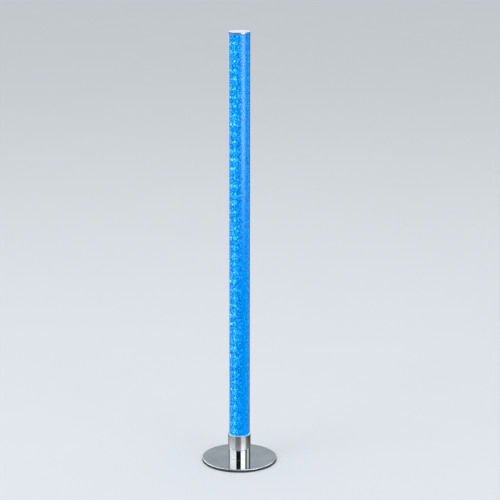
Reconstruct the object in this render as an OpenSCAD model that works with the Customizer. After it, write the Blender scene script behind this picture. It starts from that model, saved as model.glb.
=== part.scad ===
// Bubble tube floor lamp: a lit column of two acrylic tubes on a round polished foot.
// The origin is the middle of the foot on the floor. +Z is up, the front faces -Y
// and the cord inlet and the push button are at the back, towards +Y.

/* [Column] */
// Height of the whole lamp
lamp_h = 1040; // [600:5:1500]
// Outside diameter of the clear outer tube
tube_d = 50; // [48:1:80]
// Wall of the outer tube
tube_wall = 2; // [1.5:0.25:3]
// Gap between the outer tube and the bubble tube
tube_gap = 0.5; // [0.3:0.1:1]
// Wall of the bubble tube
bubble_wall = 2; // [1.5:0.25:2.5]

/* [Base] */
// Diameter of the base plate
base_d = 180; // [140:1:260]
// Thickness of the base plate
base_t = 6; // [5:0.5:8]
// Radius of the rounded upper edge of the base plate
base_edge_r = 1.5; // [0.5:0.1:2.5]
// Thickness of the pad under the plate
pad_t = 1.5; // [1:0.25:3]
// Distance from the rim of the plate in to the rim of the pad
pad_inset = 4; // [2:0.5:10]
// Diameter of the hole in the middle of the pad
pad_hole_d = 70; // [56:1:100]

/* [Sleeve and collar] */
// Height of the polished sleeve
sleeve_h = 25.5; // [24.5:0.5:34]
// Height of the satin collar
collar_h = 34.5; // [33:0.5:50]
// Wall of the sleeve and of the collar
collar_wall = 1.2; // [0.8:0.1:2]
// Gap between the outer tube and the wall of the collar
collar_gap = 0.8; // [0.5:0.1:1.5]
// Height of the inward lip at the top of the collar
collar_lip_h = 1.5; // [1:0.25:3]
// Bevel on the edges of the sleeve and of the collar
edge_bevel = 0.4; // [0.2:0.1:0.6]

/* [Socket] */
// Wall of the socket
socket_wall = 2.5; // [2:0.25:3]
// How deep the outer tube stands in the collar
tube_depth = 23.5; // [18:0.5:25]
// Thickness of the deck that carries the tubes and the light bar
deck_t = 3; // [2:0.5:4]
// Height of the spigot inside the outer tube
spigot_h = 8; // [5:0.5:12]
// Height of the step inside the bubble tube
step_h = 5; // [3:0.5:8]
// Wall of the ring of the step
step_wall = 2.2; // [1.5:0.1:2.6]
// Height of the tenons that hold the light bar
tenon_h = 12; // [10:0.5:16]
// Diameter of the screw bosses
boss_d = 8; // [7:0.5:9]
// Height of the screw bosses
boss_h = 12; // [10:0.5:13]

/* [Fits] */
// Gap between pieces that slip over or into each other
slip_gap = 0.3; // [0.2:0.05:0.4]
// Gap between a screw or a pressed stub and its hole
thread_gap = 0.05; // [0.03:0.01:0.1]
// Gap round a screw in a hole that it passes through
pass_gap = 0.2; // [0.15:0.05:0.4]

/* [Top] */
// Thickness of the disc of the cap
cap_t = 2.5; // [1.5:0.25:5]
// Radius of the rounded upper edge of the cap
cap_edge_r = 0.6; // [0.2:0.1:1.2]
// Diameter of the stub under the cap
stub_d = 12; // [8:0.5:16]
// Length of the stub under the cap
stub_h = 6; // [4:0.5:6.5]
// Thickness of the flange of the plug, which shows under the cap
plug_flange_t = 2.5; // [1.5:0.25:5]
// Thickness of the flat rings under and on the outer tube
gasket_t = 0.5; // [0.3:0.1:1.5]

/* [Light bar] */
// Depth of the light bar, from strip to strip
bar_depth = 22; // [18:0.5:23]
// Width of the light bar
bar_width = 12; // [11:0.5:14]
// Wall of the light bar
bar_wall = 1.5; // [1:0.25:2]
// Angle from the front to the left that the first strip faces
bar_turn = 65; // [50:1:75]
// Width of a circuit strip
strip_w = 10; // [8:0.5:11]
// Thickness of a circuit strip
strip_t = 0.25; // [0.2:0.05:0.5]
// Side of a square diode
led_side = 5; // [3:0.5:5]
// Height of a diode
led_t = 1.6; // [1:0.1:2]
// Distance from one diode to the next, 48 to the metre
led_pitch = 20.83; // [15:0.01:40]
// Height of the first diode above the collar
led_start = 9.3; // [0:0.1:15]

/* [Controller] */
// Width of the circuit board
board_w = 34; // [33:0.5:35]
// Height of the circuit board
board_h = 17; // [16.5:0.5:18]
// Thickness of the circuit board
board_t = 1.6; // [1:0.2:2]
// Diameter of the posts that carry the board
post_d = 5.5; // [5:0.25:6]

/* [Button and inlet] */
// Height of the button above the base plate
button_rise = 19.5; // [19:0.25:20]
// Diameter of the button
button_d = 7; // [5:0.25:7.5]
// How far the button stands out of the sleeve
button_proud = 2; // [1.6:0.1:4]
// Travel of the button
button_travel = 1.5; // [0.8:0.1:1.6]
// Thickness of the flange that keeps the button in
button_flange_t = 1.1; // [0.8:0.1:1.5]
// Side of the push switch
switch_side = 8; // [7.5:0.25:8.5]
// Height of the push switch
switch_h = 6; // [5.5:0.25:7]
// Diameter of the stem of the switch
stem_d = 3; // [2.5:0.1:3.5]
// Height of the cord inlet above the base plate
gland_rise = 8; // [7.5:0.25:8.5]
// Diameter of the thread of the gland
gland_d = 8; // [7:0.25:8.5]
// Bore of the gland for a supply cord
gland_bore = 5.2; // [4:0.1:6]
// Diameter of the head of the gland
gland_head_d = 11; // [10:0.5:12]
// How far the gland stands out of the sleeve
gland_proud = 4; // [2.5:0.25:8]

/* [Screws] */
// Diameter of the base screws
base_screw_d = 4; // [3:0.5:5]
// Length of the base screws
base_screw_l = 14; // [12:0.5:16]
// Diameter of the small screws of the bar and of the board
small_screw_d = 2.5; // [2:0.5:3]
// Length of the small screws
small_screw_l = 7; // [6:0.5:7.5]

/* [Hidden] */
$fn = 96;

// A cut runs this far past the face that it opens
past = 1;

// Radii from the tubes outwards and inwards
tube_r = tube_d / 2;
tube_in_r = tube_r - tube_wall;
bubble_r = tube_in_r - tube_gap;
bubble_in_r = bubble_r - bubble_wall;
column_r = tube_r + collar_gap + collar_wall;
sleeve_in_r = column_r - collar_wall;
socket_r = sleeve_in_r - slip_gap;
socket_in_r = socket_r - socket_wall;
spigot_r = tube_in_r - slip_gap;
step_r = bubble_in_r - slip_gap;
step_in_r = step_r - step_wall;

// Heights from the floor up
foot_z = pad_t + base_t;
sleeve_top_z = foot_z + sleeve_h;
collar_top_z = sleeve_top_z + collar_h;
seat_z = collar_top_z - tube_depth;
deck_z = seat_z - deck_t;
bubble_foot_z = seat_z + spigot_h;
step_top_z = bubble_foot_z + step_h;

// Heights from the top down
cap_z = lamp_h - cap_t;
bubble_top_z = cap_z - plug_flange_t;
bar_top_z = bubble_top_z - step_h;

// Depths from the back of the column inwards
inner_pad_t = 2;
inner_pad_y = socket_in_r - inner_pad_t;
flange_in_y = inner_pad_y - button_flange_t;
switch_clearance = 0.6;
switch_top_y = flange_in_y - button_travel - switch_clearance;
board_back_y = switch_top_y - switch_h;
board_front_y = board_back_y - board_t;

// Button, inlet and board
button_z = foot_z + button_rise;
gland_z = foot_z + gland_rise;
switch_above_board_edge = 5.5;
board_z = button_z - switch_above_board_edge;
inner_pad_w = 15;
inner_pad_floor_gap = 1;
inner_pad_over_button = 6;
board_screw_x = 13.5;
board_screw_from_top = 3;
board_screw_from_edge = 3.5;
board_screw_zs = [board_z + board_h - board_screw_from_top, board_z + board_screw_from_edge];
button_hole_r = button_d / 2 + slip_gap;
button_flange_rim = 1.2;
button_flange_r = button_d / 2 + button_flange_rim;
button_edge_r = 0.7;
button_grip = 4.1;
stem_in_cap = 4;
stem_fit = 0.05;

// Inside of the push switch
switch_floor_t = 0.8;
switch_lid_t = 1;
switch_room_r = 3.1;
stem_foot_t = 0.8;
stem_foot_r = switch_room_r - slip_gap;
stem_slide_gap = 0.075;
spring_wire_r = 0.25;
spring_turns = 3;
spring_rings_per_turn = 8;
spring_play = 0.1;
spring_r = stem_foot_r - spring_wire_r - spring_play;

// Plug
stub_floor_gap = 0.3;

// Gland
gland_hole_r = gland_d / 2 + pass_gap;
gland_in_l = 6;
gland_in_y = inner_pad_y - gland_in_l;
gland_nut_t = 3;
gland_nut_rim = 1.5;
gland_nut_flats = gland_d + 2 * gland_nut_rim;
gland_head_l = 2;
gland_tip_wall = 1.2;

// Base screws, with the proportions of a countersunk head
base_screw_r = base_screw_d / 2;
base_head_r = base_screw_r * 2;
base_head_h = base_screw_r * 1.15;
base_drive_r = base_screw_r * 0.7;
base_drive_h = base_head_h * 0.7;
boss_in_wall = 0.5;
boss_ring_r = socket_in_r - boss_d / 2 + boss_in_wall;
boss_angles = [30, 150, 270];

// A pilot hole runs this far past the end of its screw
pilot_past_screw = 0.3;

// Small screws, with the proportions of a pan head
small_head_r = small_screw_d * 0.9;
small_head_h = small_screw_d * 0.65;
small_drive_r = small_screw_d * 0.35;
small_drive_h = small_head_h * 0.6;
tenon_screw_rise = 7;

// Light bar: the first strip faces the direction that bar_turn gives
bar_face = bar_depth / 2;
strip_face = bar_face + strip_t;
strip_end_gap = 2;
led_first_z = collar_top_z + led_start;
led_last_gap = 8;
led_count = floor((bar_top_z - led_last_gap - led_first_z) / led_pitch) + 1;
resistor_size = [2, 0.5, 1.25];
tenon_w = bar_width - 2 * bar_wall - 2 * slip_gap;
tenon_depth = bar_depth - 2 * bar_wall - 2 * slip_gap;
lead_hole_at = (bar_face + step_in_r) / 2;
lead_hole_r = 2.6;

// Components on the front of the board: [across, up from the lower edge], size [x, y, z]
terminal_at = [-9, 4.5];
terminal_size = [10, 8, 8];
terminal_entry_r = 1.4;
terminal_entry_l = 5;
capacitor_at = [4.5, 4];
capacitor_r = 3.15;
capacitor_l = 7;
chip_at = [3.5, 9.4];
chip_size = [8.7, 1.5, 4];
transistor_ats = [[-12.5, 10], [-9, 10], [-5.5, 10]];
transistor_size = [3, 1.1, 1.4];
connector_ats = [[-5.5, 14], [9.5, 14]];
connector_size = [10, 5, 5];

// Leads from the connectors up through the deck to the foot of each strip
lead_r = 1.1;
lead_sides = 8;
lead_end_rise = 6;
lead_starts = [for (at = connector_ats)
    [at[0], board_front_y - connector_size[1], board_z + at[1]]];
lead_routes = [
    concat(
        [for (step = [[0, 0, 0], [0, -2, 0], [-1, -5, 0.3], [-3.5, -8.5, 1.2]])
            lead_starts[0] + step],
        lead_rise(-1)
    ),
    concat(
        [for (step = [[0, 0, 0], [0, -1.8, 0], [0.5, -3, 1.1], [1.5, -2.8, 2.7]])
            lead_starts[1] + step],
        lead_rise(1)
    )
];

// A point of the light bar's own frame, turned into the frame of the lamp
function bar_point(x, y, z) = [
    x * cos(bar_turn) + y * sin(bar_turn),
    y * cos(bar_turn) - x * sin(bar_turn),
    z
];

// The upper part of a lead: through its hole in the deck and square onto its strip
function lead_rise(side) = [
    bar_point(0, side * (lead_hole_at - 0.6), deck_z - 0.6),
    bar_point(0, side * lead_hole_at, deck_z + deck_t / 2),
    bar_point(0, side * lead_hole_at, seat_z + lead_end_rise - 3.4),
    bar_point(0, side * (lead_hole_at - 0.4), seat_z + lead_end_rise - 1.6),
    bar_point(0, side * (lead_hole_at - 1.3), seat_z + lead_end_rise - 0.4),
    bar_point(0, side * (strip_face + 1.2), seat_z + lead_end_rise),
    bar_point(0, side * strip_face, seat_z + lead_end_rise)
];

// Tube swept along points: each ring stands square to the path and is carried on without twist
function unit(v) = v / norm(v);
function path_direction(p, i) = unit(p[min(i + 1, len(p) - 1)] - p[max(i - 1, 0)]);
function flattened(n, t) = unit(n - (n * t) * t);
function carried(p, i, n) = i == len(p) ? [] :
    let (m = flattened(n, path_direction(p, i))) concat([m], carried(p, i + 1, m));
function ring_points(p, r, sides, start) = let (normals = carried(p, 0, start)) [
    for (i = [0:len(p) - 1])
        let (across = cross(path_direction(p, i), normals[i]))
        for (k = [0:sides - 1])
            p[i] + r * (cos(360 * k / sides) * normals[i] + sin(360 * k / sides) * across)
];

module swept_tube(p, r, sides, start) {
    last = (len(p) - 1) * sides;
    walls = [for (i = [0:len(p) - 2], k = [0:sides - 1], half = [0, 1])
        let (a = i * sides + k, b = i * sides + (k + 1) % sides)
        half == 0 ? [a, a + sides, b + sides] : [a, b + sides, b]];
    ends = [for (k = [1:sides - 2], end = [0, 1])
        end == 0 ? [0, k, k + 1] : [last, last + k + 1, last + k]];
    polyhedron(ring_points(p, r, sides, start), concat(walls, ends), convexity = 6);
}

// Ring between two radii, standing on z
module ring(outer_r, inner_r, z, h) {
    translate([0, 0, z]) rotate_extrude()
        translate([inner_r, 0]) square([outer_r - inner_r, h]);
}

// Disc whose upper edge is rounded
module rounded_disc(r, z, h, edge_r) {
    translate([0, 0, z]) rotate_extrude() union() {
        square([r - edge_r, h]);
        square([r, h - edge_r]);
        translate([r - edge_r, h - edge_r]) intersection() {
            circle(edge_r);
            square(edge_r);
        }
    }
}

// Half outline of a sleeve with bevelled outer edges
module sleeve_outline(outer_r, inner_r, h, bevel) {
    polygon([
        [inner_r, 0], [outer_r - bevel, 0], [outer_r, bevel],
        [outer_r, h - bevel], [outer_r - bevel, h], [inner_r, h]
    ]);
}

// Cylinder that lies along Y from one depth to another
module along_y(x, z, from_y, to_y, r) {
    translate([x, from_y, z]) rotate([-90, 0, 0]) cylinder(r = r, h = to_y - from_y);
}

// Everything in the frame of the light bar
module in_bar_frame() {
    rotate([0, 0, -bar_turn]) children();
}

// Both strips of the light bar: the second is the first turned half round
module on_both_strips() {
    in_bar_frame() for (turn = [0, 180]) rotate([0, 0, turn]) children();
}

// Pan head screw along +Z: the head is below z = 0 and the shank above it
module small_screw() {
    difference() {
        union() {
            translate([0, 0, -small_head_h]) cylinder(r = small_head_r, h = small_head_h);
            cylinder(r = small_screw_d / 2, h = small_screw_l);
        }
        translate([0, 0, -small_head_h - past])
            cylinder(r = small_drive_r, h = small_drive_h + past, $fn = 6);
    }
}

// Pilot hole of a bar screw in a tenon, in the frame of the light bar
module tenon_pilot(z) {
    length = small_screw_l + pilot_past_screw;
    translate([bar_width / 2 - length, 0, z]) rotate([0, 90, 0])
        cylinder(r = small_screw_d / 2 + thread_gap, h = length);
}

// Component that stands on the front of the board
module on_board(at, size) {
    translate([at[0] - size[0] / 2, board_front_y - size[1], board_z + at[1] - size[2] / 2])
        cube(size);
}

module base_plate() {
    color([0.72, 0.74, 0.76]) difference() {
        rounded_disc(base_d / 2, pad_t, base_t, base_edge_r);
        for (turn = boss_angles) rotate([0, 0, turn]) translate([boss_ring_r, 0, pad_t]) {
            translate([0, 0, -past])
                cylinder(r = base_screw_r + pass_gap, h = base_t + 2 * past);
            cylinder(r1 = base_head_r + pass_gap, r2 = base_screw_r + pass_gap, h = base_head_h);
            translate([0, 0, -past]) cylinder(r = base_head_r + pass_gap, h = past);
        }
    }
}

module base_pad() {
    color([0.08, 0.08, 0.09]) ring(base_d / 2 - pad_inset, pad_hole_d / 2, 0, pad_t);
}

module base_screws() {
    color([0.75, 0.75, 0.77]) for (turn = boss_angles) rotate([0, 0, turn])
        translate([boss_ring_r, 0, pad_t]) difference() {
            union() {
                cylinder(r1 = base_head_r, r2 = base_screw_r, h = base_head_h);
                cylinder(r = base_screw_r, h = base_screw_l);
            }
            translate([0, 0, -past])
                cylinder(r = base_drive_r, h = base_drive_h + past, $fn = 6);
        }
}

module chrome_sleeve() {
    color([0.85, 0.86, 0.88]) difference() {
        translate([0, 0, foot_z]) rotate_extrude()
            sleeve_outline(column_r, sleeve_in_r, sleeve_h, edge_bevel);
        along_y(0, gland_z, 0, column_r + past, gland_hole_r);
        along_y(0, button_z, 0, column_r + past, button_hole_r);
    }
}

module satin_collar() {
    color([0.70, 0.71, 0.73]) translate([0, 0, sleeve_top_z]) rotate_extrude() union() {
        sleeve_outline(column_r, sleeve_in_r, collar_h, edge_bevel);
        translate([tube_r + slip_gap, collar_h - collar_lip_h])
            square([sleeve_in_r - tube_r - slip_gap + collar_wall / 2, collar_lip_h]);
    }
}

// Moulded holder: barrel, deck, steps for the tubes, tenon for the bar, bosses and posts
module socket() {
    color([0.16, 0.17, 0.19]) difference() {
        union() {
            ring(socket_r, socket_in_r, foot_z, seat_z - foot_z);
            translate([0, 0, deck_z]) cylinder(r = socket_r, h = deck_t);
            ring(spigot_r, step_in_r, deck_z, bubble_foot_z - deck_z);
            ring(step_r, step_in_r, deck_z, step_top_z - deck_z);
            in_bar_frame() translate([-tenon_w / 2, -tenon_depth / 2, deck_z])
                cube([tenon_w, tenon_depth, deck_t + tenon_h]);
            intersection() {
                translate([0, 0, foot_z])
                    cylinder(r = (socket_r + socket_in_r) / 2, h = deck_z - foot_z);
                union() {
                    for (turn = boss_angles) rotate([0, 0, turn])
                        translate([boss_ring_r, 0, foot_z]) cylinder(d = boss_d, h = boss_h);
                    translate([-inner_pad_w / 2, inner_pad_y, foot_z + inner_pad_floor_gap])
                        cube([inner_pad_w, socket_wall + inner_pad_t,
                            button_rise + inner_pad_over_button - inner_pad_floor_gap]);
                    for (i = [0, 1])
                        along_y(board_screw_x * (2 * i - 1), board_screw_zs[i],
                            board_back_y, socket_r, post_d / 2);
                }
            }
        }
        for (turn = boss_angles) rotate([0, 0, turn])
            translate([boss_ring_r, 0, foot_z - past])
                cylinder(r = base_screw_r + thread_gap,
                    h = base_screw_l - base_t + pilot_past_screw + past);
        for (i = [0, 1])
            along_y(board_screw_x * (2 * i - 1), board_screw_zs[i], board_back_y - past,
                board_front_y + small_screw_l + pilot_past_screw,
                small_screw_d / 2 + thread_gap);
        along_y(0, gland_z, 0, socket_r + past, gland_hole_r);
        along_y(0, button_z, 0, socket_r + past, button_hole_r);
        in_bar_frame() {
            for (side = [-1, 1]) translate([0, side * lead_hole_at, deck_z - past])
                cylinder(r = lead_hole_r, h = deck_t + 2 * past);
            tenon_pilot(seat_z + tenon_screw_rise);
        }
    }
}

module tube_gasket() {
    color([0.75, 0.78, 0.80]) ring(tube_r, tube_in_r, seat_z, gasket_t);
}

module outer_tube() {
    color([0.80, 0.92, 1.00, 0.35])
        ring(tube_r, tube_in_r, seat_z + gasket_t, cap_z - seat_z - 2 * gasket_t);
}

module bubble_tube() {
    color([0.05, 0.60, 0.96, 0.85])
        ring(bubble_r, bubble_in_r, bubble_foot_z, bubble_top_z - bubble_foot_z);
}

module light_bar() {
    color([0.78, 0.80, 0.82]) in_bar_frame() difference() {
        translate([-bar_width / 2, -bar_depth / 2, seat_z])
            cube([bar_width, bar_depth, bar_top_z - seat_z]);
        translate([-bar_width / 2 + bar_wall, -bar_depth / 2 + bar_wall, seat_z - past])
            cube([bar_width - 2 * bar_wall, bar_depth - 2 * bar_wall,
                bar_top_z - seat_z + 2 * past]);
        for (z = [seat_z + tenon_screw_rise, bar_top_z - tenon_screw_rise])
            translate([0, 0, z]) rotate([0, 90, 0])
                cylinder(r = small_screw_d / 2 + pass_gap, h = bar_width);
    }
}

module bar_screws() {
    color([0.70, 0.70, 0.72]) in_bar_frame()
        for (z = [seat_z + tenon_screw_rise, bar_top_z - tenon_screw_rise])
            translate([bar_width / 2, 0, z]) rotate([0, -90, 0]) small_screw();
}

module led_strips() {
    color([0.92, 0.92, 0.88]) on_both_strips()
        translate([-strip_w / 2, -strip_face, seat_z + strip_end_gap])
            cube([strip_w, strip_t, bar_top_z - seat_z - 2 * strip_end_gap]);
}

module leds() {
    color([0.45, 0.85, 1.00]) on_both_strips() for (i = [0:led_count - 1])
        translate([-led_side / 2, -strip_face - led_t, led_first_z + i * led_pitch - led_side / 2])
            cube([led_side, led_t, led_side]);
}

module strip_resistors() {
    color([0.10, 0.10, 0.11]) on_both_strips() for (i = [0:led_count - 2])
        translate([-resistor_size[0] / 2, -strip_face - resistor_size[1],
            led_first_z + (i + 0.5) * led_pitch - resistor_size[2] / 2])
            cube(resistor_size);
}

module strip_leads() {
    color([0.90, 0.90, 0.92]) for (route = lead_routes)
        swept_tube(route, lead_r, lead_sides, [0, 0, 1]);
}

// Moulded plug: flange under the cap, step inside the bubble tube and tenon inside the bar
module top_plug() {
    color([0.10, 0.16, 0.30]) difference() {
        union() {
            translate([0, 0, bubble_top_z]) cylinder(r = spigot_r, h = plug_flange_t);
            translate([0, 0, bar_top_z]) cylinder(r = step_r, h = step_h);
            in_bar_frame() translate([-tenon_w / 2, -tenon_depth / 2, bar_top_z - tenon_h])
                cube([tenon_w, tenon_depth, tenon_h]);
        }
        translate([0, 0, cap_z - stub_h - stub_floor_gap])
            cylinder(r = stub_d / 2 + thread_gap, h = stub_h + stub_floor_gap + past);
        in_bar_frame() tenon_pilot(bar_top_z - tenon_screw_rise);
    }
}

module top_gasket() {
    color([0.75, 0.78, 0.80]) ring(tube_r, tube_in_r, cap_z - gasket_t, gasket_t);
}

module top_cap() {
    color([0.88, 0.90, 0.93]) union() {
        rounded_disc(tube_r, cap_z, cap_t, cap_edge_r);
        translate([0, 0, cap_z - stub_h]) cylinder(d = stub_d, h = stub_h + cap_t / 2);
    }
}

module controller_board() {
    color([0.05, 0.35, 0.20]) difference() {
        translate([-board_w / 2, board_front_y, board_z]) cube([board_w, board_t, board_h]);
        for (i = [0, 1])
            along_y(board_screw_x * (2 * i - 1), board_screw_zs[i], board_front_y - past,
                board_back_y + past, small_screw_d / 2 + pass_gap);
    }
}

module board_screws() {
    color([0.70, 0.70, 0.72]) for (i = [0, 1])
        translate([board_screw_x * (2 * i - 1), board_front_y, board_screw_zs[i]])
            rotate([-90, 0, 0]) small_screw();
}

module controller_chip() {
    color([0.08, 0.08, 0.08]) on_board(chip_at, chip_size);
}

module output_transistors() {
    color([0.10, 0.10, 0.10]) for (at = transistor_ats) on_board(at, transistor_size);
}

module board_capacitor() {
    color([0.15, 0.18, 0.40])
        along_y(capacitor_at[0], board_z + capacitor_at[1], board_front_y - capacitor_l,
            board_front_y, capacitor_r);
}

module supply_terminal() {
    color([0.10, 0.45, 0.25]) difference() {
        on_board(terminal_at, terminal_size);
        for (side = [-1, 1])
            along_y(terminal_at[0] + side * terminal_size[0] / 4, board_z + terminal_at[1],
                board_front_y - terminal_size[1] - past,
                board_front_y - terminal_size[1] + terminal_entry_l, terminal_entry_r);
    }
}

module strip_connectors() {
    color([0.93, 0.93, 0.90]) for (at = connector_ats) on_board(at, connector_size);
}

// Gland whose head is seated on the round sleeve, with a straight bore for the cord
module cable_gland() {
    color([0.06, 0.06, 0.07]) difference() {
        union() {
            along_y(0, gland_z, gland_in_y, column_r + gland_head_l, gland_d / 2);
            difference() {
                along_y(0, gland_z, sleeve_in_r, column_r + gland_head_l, gland_head_d / 2);
                translate([0, 0, gland_z - gland_head_d])
                    cylinder(r = column_r, h = 2 * gland_head_d);
            }
            translate([0, column_r + gland_head_l, gland_z]) rotate([-90, 0, 0])
                cylinder(r1 = gland_head_d / 2, r2 = gland_bore / 2 + gland_tip_wall,
                    h = gland_proud - gland_head_l);
        }
        along_y(0, gland_z, gland_in_y - past, column_r + gland_proud + past, gland_bore / 2);
    }
}

module gland_nut() {
    color([0.06, 0.06, 0.07]) difference() {
        translate([0, inner_pad_y - gland_nut_t, gland_z]) rotate([-90, 0, 0])
            cylinder(d = gland_nut_flats / cos(30), h = gland_nut_t, $fn = 6);
        along_y(0, gland_z, inner_pad_y - gland_nut_t - past, inner_pad_y + past,
            gland_d / 2 + thread_gap);
    }
}

module switch_body() {
    color([0.12, 0.12, 0.13]) difference() {
        translate([-switch_side / 2, board_back_y, button_z - switch_side / 2])
            cube([switch_side, switch_h, switch_side]);
        along_y(0, button_z, board_back_y + switch_floor_t, switch_top_y - switch_lid_t,
            switch_room_r);
        along_y(0, button_z, switch_top_y - switch_lid_t - past, switch_top_y + past,
            stem_d / 2 + stem_slide_gap);
    }
}

module switch_stem() {
    lid_y = switch_top_y - switch_lid_t;
    color([0.85, 0.85, 0.85]) union() {
        along_y(0, button_z, lid_y - stem_foot_t, lid_y, stem_foot_r);
        along_y(0, button_z, lid_y - stem_foot_t, flange_in_y + stem_in_cap, stem_d / 2);
    }
}

module switch_spring() {
    from_y = board_back_y + switch_floor_t + spring_wire_r;
    to_y = switch_top_y - switch_lid_t - stem_foot_t - spring_wire_r;
    rings = spring_turns * spring_rings_per_turn;
    route = [for (i = [0:rings]) let (turn = 360 * i / spring_rings_per_turn) [
        spring_r * cos(turn),
        from_y + (to_y - from_y) * i / rings,
        button_z + spring_r * sin(turn)
    ]];
    color([0.75, 0.76, 0.78]) swept_tube(route, spring_wire_r, 6, [0, 1, 0]);
}

// Button: round cap with a soft edge, a flange inside the wall and a hole for the stem
module button_cap() {
    color([0.80, 0.81, 0.83]) difference() {
        translate([0, flange_in_y, button_z]) rotate([-90, 0, 0]) union() {
            rounded_disc(button_d / 2, 0, column_r + button_proud - flange_in_y, button_edge_r);
            cylinder(r = button_flange_r, h = button_flange_t);
        }
        along_y(0, button_z, flange_in_y - past, flange_in_y + button_grip,
            stem_d / 2 + stem_fit);
    }
}

base_plate();
base_pad();
base_screws();
chrome_sleeve();
satin_collar();
socket();
tube_gasket();
outer_tube();
bubble_tube();
light_bar();
bar_screws();
led_strips();
leds();
strip_resistors();
strip_leads();
top_plug();
top_gasket();
top_cap();
controller_board();
board_screws();
controller_chip();
output_transistors();
board_capacitor();
supply_terminal();
strip_connectors();
cable_gland();
gland_nut();
switch_body();
switch_stem();
switch_spring();
button_cap();
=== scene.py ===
"""Looks of a bubble tube floor lamp: a lit column of two acrylic tubes on a round polished foot."""

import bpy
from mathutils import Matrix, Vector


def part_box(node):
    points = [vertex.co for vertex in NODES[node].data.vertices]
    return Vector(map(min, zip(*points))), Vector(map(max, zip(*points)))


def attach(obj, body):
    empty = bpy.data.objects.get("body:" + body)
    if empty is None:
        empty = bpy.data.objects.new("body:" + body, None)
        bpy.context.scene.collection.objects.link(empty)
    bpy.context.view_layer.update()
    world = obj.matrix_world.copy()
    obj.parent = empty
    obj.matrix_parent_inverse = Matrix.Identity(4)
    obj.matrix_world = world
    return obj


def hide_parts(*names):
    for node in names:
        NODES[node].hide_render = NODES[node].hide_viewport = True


bl_info = {
    "name": "Bubble tube floor lamp",
    "version": (1, 0, 0),
    "blender": (4, 5, 0),
    "location": "3D View > Sidebar > Lamp",
    "description": "Dresses the packed solids of a bubble tube floor lamp and lights them",
    "category": "Object",
}

import math

import bmesh
import bpy
from bpy.props import FloatProperty, FloatVectorProperty, IntProperty, PointerProperty
from mathutils import Matrix, Vector

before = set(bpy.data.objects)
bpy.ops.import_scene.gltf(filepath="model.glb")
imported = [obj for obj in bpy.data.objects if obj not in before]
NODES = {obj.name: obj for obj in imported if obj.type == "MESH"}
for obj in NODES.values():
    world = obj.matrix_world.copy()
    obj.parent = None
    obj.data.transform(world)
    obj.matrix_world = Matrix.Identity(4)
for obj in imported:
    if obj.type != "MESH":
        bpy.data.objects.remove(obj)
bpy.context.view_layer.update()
MM = 0.001

# Sizes of the solids that no box gives, in metres
BUBBLE_WALL = 2 * MM
DIODE_SIDE = 5 * MM
DIODE_PITCH = 20.83 * MM
DIODE_HEIGHT = 1.6 * MM
STRIP_FACE = 11.25 * MM

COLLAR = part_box("satin_collar")
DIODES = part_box("leds")
FIRST_DIODE = DIODES[0].z + DIODE_SIDE / 2
DIODE_COUNT = round((DIODES[1].z - DIODES[0].z - DIODE_SIDE) / DIODE_PITCH) + 1
# The first strip of the light bar faces this far left of the front
BAR_TURN = math.radians(65)

# Radii of the screw heads, length of the small screws and half the width of the bar, in millimetres
FOOT_HEAD = 4.0
SMALL_HEAD = 2.25
SMALL_LENGTH = 7.0
BAR_SIDE = 6.0

# How strongly the finer clouds of a noise pattern show
SOFT = {"Roughness": 0.55}


def linear(colour):
    """The linear colour of an sRGB hex value such as "#1EA0FA"."""
    parts = [int(colour[i:i + 2], 16) / 255 for i in (1, 3, 5)]
    return tuple(p / 12.92 if p <= 0.04045 else ((p + 0.055) / 1.055) ** 2.4 for p in parts)


def feed(made, inputs):
    """Sets the sockets of a node, by name or in order, to values or hex colours, or links them to an
    output or to the first output of another node. A tuple such as ("POWER", height, 2.0) is
    arithmetic."""
    tree = made.id_data
    for name, value in inputs.items() if isinstance(inputs, dict) else enumerate(inputs):
        if isinstance(value, str) and value.startswith("#"):
            value = (*linear(value), 1)
        if isinstance(value, tuple) and isinstance(value[0], str):
            value = node(tree, "ShaderNodeMath", value[1:], operation=value[0])
        if isinstance(value, bpy.types.Node):
            value = value.outputs[0]
        if isinstance(value, bpy.types.NodeSocket):
            tree.links.new(value, made.inputs[name])
        else:
            made.inputs[name].default_value = value


def node(tree, kind, inputs=(), stops=None, **settings):
    """Adds a node: settings are its own, inputs are what feeds its sockets, and stops are the
    places and hex colours of a colour ramp."""
    made = tree.nodes.new(kind)
    for name, value in settings.items():
        setattr(made, name, value)
    feed(made, inputs)
    if stops:
        ramp = made.color_ramp
        while len(ramp.elements) < len(stops):
            ramp.elements.new(1.0)
        for element, (place, colour) in zip(ramp.elements, stops):
            element.position = place
            element.color = (*linear(colour), 1)
    return made


def start_material(name, **values):
    """A new material with one Principled shader, whose even values are set on its own sockets.
    Returns the material, its tree, the shader and the Object coordinates in millimetres."""
    made = bpy.data.materials.new(name)
    made.use_nodes = True
    tree = made.node_tree
    shader = tree.nodes["Principled BSDF"]
    feed(shader, {socket.replace("_", " "): value for socket, value in values.items()})
    place = node(tree, "ShaderNodeTexCoord").outputs["Object"]
    scaled = node(tree, "ShaderNodeVectorMath", {0: place, 1: (1 / MM,) * 3}, operation="MULTIPLY")
    return made, tree, shader, scaled


def finish_surface(tree, shader, pattern, dark, light, smooth, rough, relief_mm=0.0, relief=None):
    """Drives colour, roughness and relief by patterns that run from 0 to 1."""
    tint = node(tree, "ShaderNodeValToRGB", {"Fac": pattern}, stops=[(0.25, dark), (0.75, light)])
    shine = node(tree, "ShaderNodeMapRange", {"Value": pattern, "To Min": smooth, "To Max": rough})
    feed(shader, {"Base Color": tint, "Roughness": shine})
    if relief_mm:
        bump = node(tree, "ShaderNodeBump", {"Height": relief or pattern, "Distance": relief_mm * MM})
        feed(shader, {"Normal": bump})


# ---------------- finishes


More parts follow.
